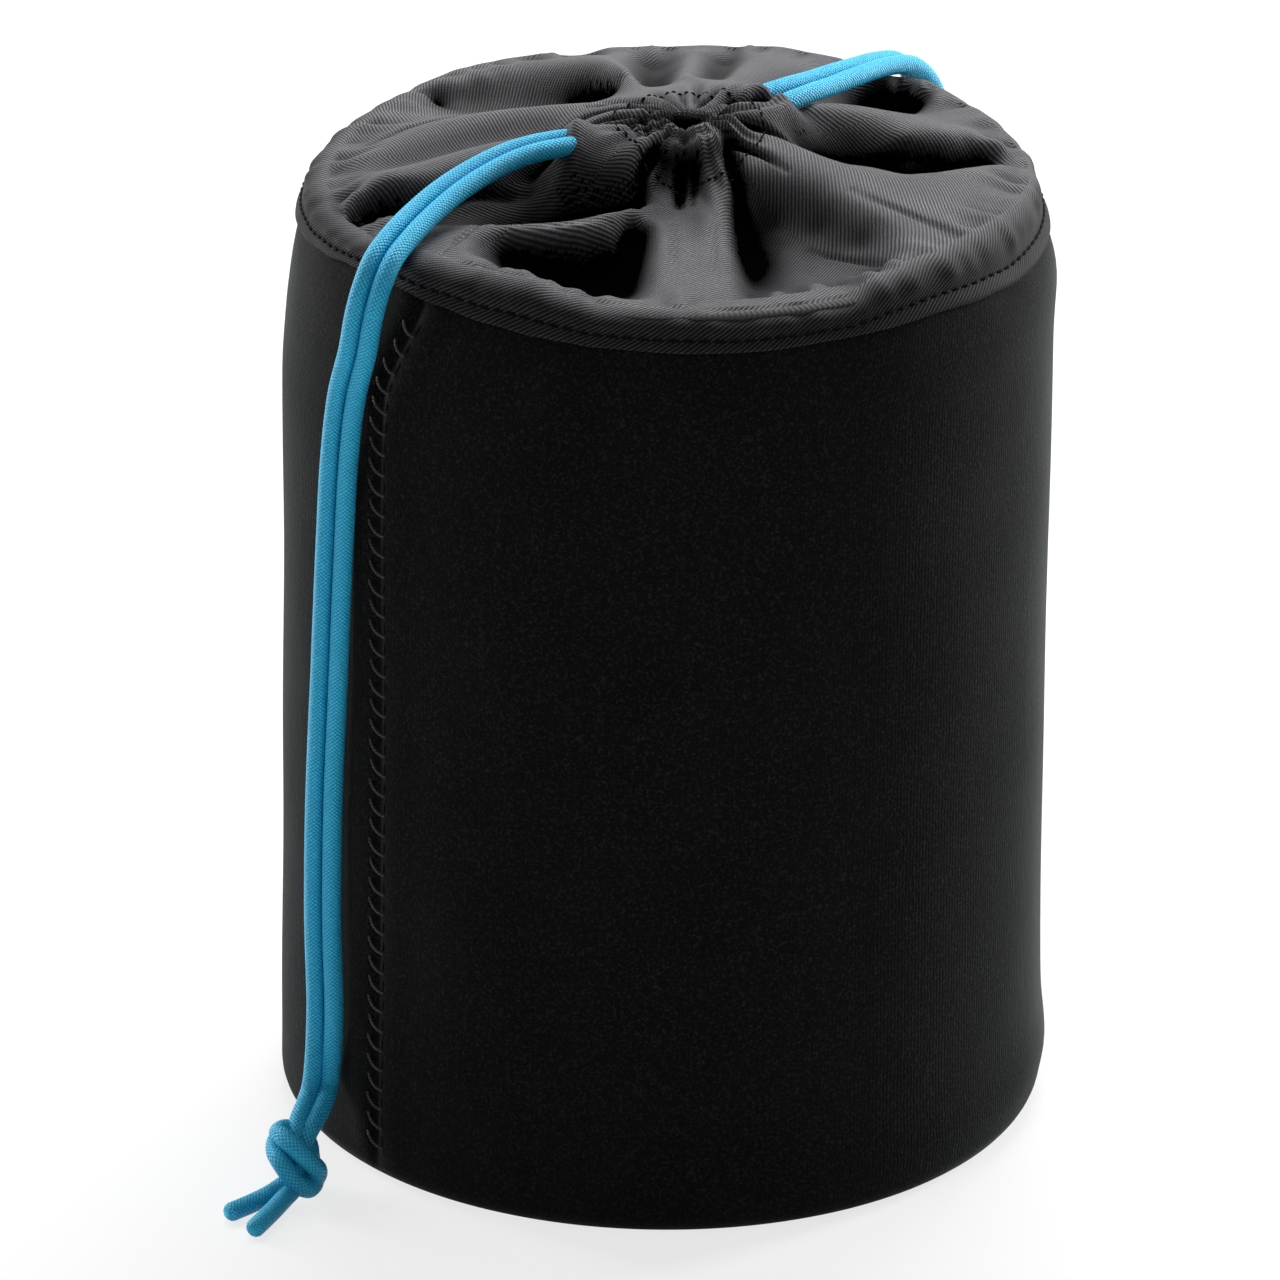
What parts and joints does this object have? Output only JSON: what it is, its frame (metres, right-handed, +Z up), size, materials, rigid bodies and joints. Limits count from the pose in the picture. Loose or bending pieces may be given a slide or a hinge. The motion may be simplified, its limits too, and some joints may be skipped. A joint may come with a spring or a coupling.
{
  "type": "lens pouch",
  "caption": "Round padded drawstring pouch for a camera lens: foam-rubber sleeve, cushioned base, and a gathered cloth collar closed by knotted cords.",
  "frame": {"origin": "middle of the base's underside, on the surface that the pouch stands on", "axes": "+Z up towards the gathered mouth, -Y towards the viewer, +X to the viewer's right"},
  "size_m": [0.1191, 0.1416, 0.1546],
  "materials": {
    "foam_rubber": "matt black foam rubber faced with a fine jersey knit",
    "collar_cloth": "soft charcoal twill with a slight sheen",
    "padding_foam": "matt black open-cell foam",
    "lining_cloth": "matt black brushed lining",
    "tape": "black ribbed binding tape",
    "thread": "black sewing thread with a slight sheen",
    "cord_braid": "bright cyan-blue braided polyester cord"
  },
  "bodies": {
    "pouch": {"sleeve": "foam_rubber", "side_seam_thread": "thread", "base_panel": "foam_rubber", "base_pad": "padding_foam", "base_lining": "lining_cloth", "base_binding_tape": "tape", "base_seam_thread": "thread", "rim_facing_tape": "tape", "collar_front": "collar_cloth", "collar_back": "collar_cloth", "rim_stitch_thread": "thread", "left_cord_lead_1": "cord_braid", "left_cord_lead_2": "cord_braid", "right_cord_lead_1": "cord_braid", "right_cord_lead_2": "cord_braid"},
    "mouth": {"hem_front": "collar_cloth", "hem_back": "collar_cloth", "left_cord_loop": "cord_braid", "right_cord_loop": "cord_braid"},
    "left_cord": {"left_cord_drop_1": "cord_braid", "left_cord_drop_2": "cord_braid", "left_cord_knot": "cord_braid"},
    "right_cord": {"right_cord_drop_1": "cord_braid", "right_cord_drop_2": "cord_braid", "right_cord_knot": "cord_braid"}
  },
  "joints": [
    {"name": "mouth_lift", "type": "slide", "parent": "pouch", "child": "mouth", "axis": [0, 0, 1], "range_m": [0, 0.015]},
    {"name": "left_cord_swing", "type": "hinge", "parent": "pouch", "child": "left_cord", "pos_m": [-0.04396, -0.0414, 0.135], "axis": [-0.6858, 0.7278, 0], "range_deg": [0, 75]},
    {"name": "right_cord_swing", "type": "hinge", "parent": "pouch", "child": "right_cord", "pos_m": [0.04206, 0.04335, 0.135], "axis": [0.7181, -0.6959, 0], "range_deg": [0, 75]}
  ]
}
